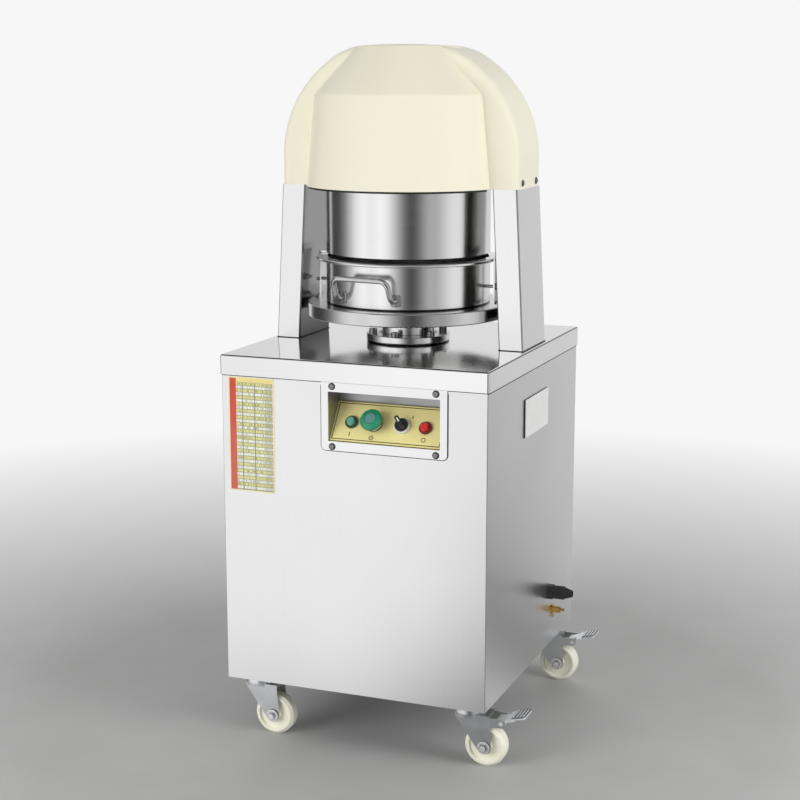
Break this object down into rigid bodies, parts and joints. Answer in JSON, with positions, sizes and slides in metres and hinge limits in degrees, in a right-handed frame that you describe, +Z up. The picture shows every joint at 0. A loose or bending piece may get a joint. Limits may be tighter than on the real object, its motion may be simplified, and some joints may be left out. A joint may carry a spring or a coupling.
{
  "type": "dough divider",
  "caption": "Floor-standing dough divider: steel cabinet on swivel casters, a lift platform that raises a round pan, and a hooded knife head carried on leaning columns.",
  "frame": {"origin": "on the floor, under the centre of the lift shaft", "axes": "+Z up, the front with the controls faces -Y, +X to the right seen from the front"},
  "size_m": [0.569, 0.5562, 1.2574],
  "materials": {
    "stainless": "brushed",
    "polished_steel": "polished",
    "cream_hood": "gloss",
    "gold_plate": "satin",
    "green_lens": "gloss",
    "green_button": "gloss",
    "red_lens": "gloss",
    "black_knob": "satin",
    "pale_ring": "gloss",
    "frame_steel": "satin",
    "cast_housing": "painted",
    "knife_steel": "ground",
    "bearing_bronze": "machined",
    "zinc_plate": "plated",
    "ivory_wheel": "satin",
    "black_gland": "matte",
    "brass_stud": "machined",
    "fastener_steel": "plated",
    "press_plastic": "matte"
  },
  "bodies": {
    "cabinet": {"front_panel": "stainless", "left_side": "stainless", "right_side": "stainless", "rear_panel": "stainless", "base_plate": "frame_steel", "corner_posts": "frame_steel", "deck_plate": "frame_steel", "top_lid": "stainless", "control_bezel": "stainless", "control_box": "stainless", "control_plate": "gold_plate", "lamp_green": "green_lens", "lamp_red": "red_lens", "start_collar": "pale_ring", "selector_ring": "pale_ring", "left_column": "stainless", "right_column": "stainless", "pillars": "frame_steel", "bridge_beam": "frame_steel", "hood": "cream_hood", "knife_grid": "knife_steel", "knife_carrier": "frame_steel", "lower_flange": "polished_steel", "upper_flange": "polished_steel", "flange_bolts": "fastener_steel", "guide_bush": "bearing_bronze", "guide_rod": "zinc_plate", "limit_switches": "frame_steel", "jack_gearbox": "cast_housing", "jack_stand": "frame_steel", "drive_motor": "cast_housing", "cable_gland": "black_gland", "earth_stud": "brass_stud", "cover_screws": "fastener_steel", "caster_plates": "zinc_plate", "caster_bolts": "fastener_steel"},
    "lift": {"lift_shaft": "polished_steel", "tray": "polished_steel", "lift_screw": "frame_steel", "guide_arm": "frame_steel", "pan_clamps": "polished_steel", "clamp_screws": "fastener_steel"},
    "pan": {"pan": "polished_steel", "handle_feet": "polished_steel", "pan_handle": "polished_steel"},
    "sleeve": {"sleeve": "polished_steel"},
    "press": {"press_plates": "press_plastic", "pressure_plate": "frame_steel"},
    "start_button": {"start_button": "green_button"},
    "selector": {"selector_knob": "black_knob"},
    "front_right_fork": {"front_right_fork": "zinc_plate"},
    "front_right_wheel": {"front_right_wheel": "ivory_wheel"},
    "front_right_pedal": {"front_right_pedal": "zinc_plate"},
    "rear_right_fork": {"rear_right_fork": "zinc_plate"},
    "rear_right_wheel": {"rear_right_wheel": "ivory_wheel"},
    "rear_right_pedal": {"rear_right_pedal": "zinc_plate"},
    "front_left_fork": {"front_left_fork": "zinc_plate"},
    "front_left_wheel": {"front_left_wheel": "ivory_wheel"},
    "rear_left_fork": {"rear_left_fork": "zinc_plate"},
    "rear_left_wheel": {"rear_left_wheel": "ivory_wheel"}
  },
  "joints": [
    {"name": "platform_lift", "type": "slide", "parent": "cabinet", "child": "lift", "axis": [0, 0, 1], "range_m": [0, 0.082]},
    {"name": "sleeve_rise", "type": "slide", "parent": "cabinet", "child": "sleeve", "axis": [0, 0, 1], "range_m": [0, 0.0746]},
    {"name": "pan_draw", "type": "slide", "parent": "lift", "child": "pan", "axis": [0, -1, 0], "range_m": [0, 0.33]},
    {"name": "press_rise", "type": "slide", "parent": "cabinet", "child": "press", "axis": [0, 0, 1], "range_m": [0, 0.074]},
    {"name": "start_push", "type": "slide", "parent": "cabinet", "child": "start_button", "axis": [0, 0.809, -0.5878], "range_m": [0, 0.006], "stiffness_N_per_m": 600, "springref_m": -0.002},
    {"name": "selector_turn", "type": "hinge", "parent": "cabinet", "child": "selector", "pos_m": [0.087, -0.25094, 0.6057], "axis": [0, 0.809, -0.5878], "range_deg": [0, 90]},
    {"name": "front_right_swivel", "type": "hinge", "parent": "cabinet", "child": "front_right_fork", "pos_m": [0.206, -0.23, 0.09], "axis": [0, 0, 1], "continuous": true},
    {"name": "front_right_spin", "type": "hinge", "parent": "front_right_fork", "child": "front_right_wheel", "pos_m": [0.24, -0.23, 0.038], "axis": [0, 1, 0], "continuous": true},
    {"name": "front_right_brake", "type": "hinge", "parent": "front_right_fork", "child": "front_right_pedal", "pos_m": [0.271, -0.23, 0.086], "axis": [0, 1, 0], "range_deg": [0, 12]},
    {"name": "rear_right_swivel", "type": "hinge", "parent": "cabinet", "child": "rear_right_fork", "pos_m": [0.206, 0.23, 0.09], "axis": [0, 0, 1], "continuous": true},
    {"name": "rear_right_spin", "type": "hinge", "parent": "rear_right_fork", "child": "rear_right_wheel", "pos_m": [0.24, 0.23, 0.038], "axis": [0, 1, 0], "continuous": true},
    {"name": "rear_right_brake", "type": "hinge", "parent": "rear_right_fork", "child": "rear_right_pedal", "pos_m": [0.271, 0.23, 0.086], "axis": [0, 1, 0], "range_deg": [0, 12]},
    {"name": "front_left_swivel", "type": "hinge", "parent": "cabinet", "child": "front_left_fork", "pos_m": [-0.206, -0.23, 0.09], "axis": [0, 0, 1], "continuous": true},
    {"name": "front_left_spin", "type": "hinge", "parent": "front_left_fork", "child": "front_left_wheel", "pos_m": [-0.172, -0.23, 0.038], "axis": [0, 1, 0], "continuous": true},
    {"name": "rear_left_swivel", "type": "hinge", "parent": "cabinet", "child": "rear_left_fork", "pos_m": [-0.206, 0.23, 0.09], "axis": [0, 0, 1], "continuous": true},
    {"name": "rear_left_spin", "type": "hinge", "parent": "rear_left_fork", "child": "rear_left_wheel", "pos_m": [-0.172, 0.23, 0.038], "axis": [0, 1, 0], "continuous": true}
  ],
  "couplings": [
    {"joint": "sleeve_rise", "follows": "platform_lift", "ratio": 0.90854}
  ]
}
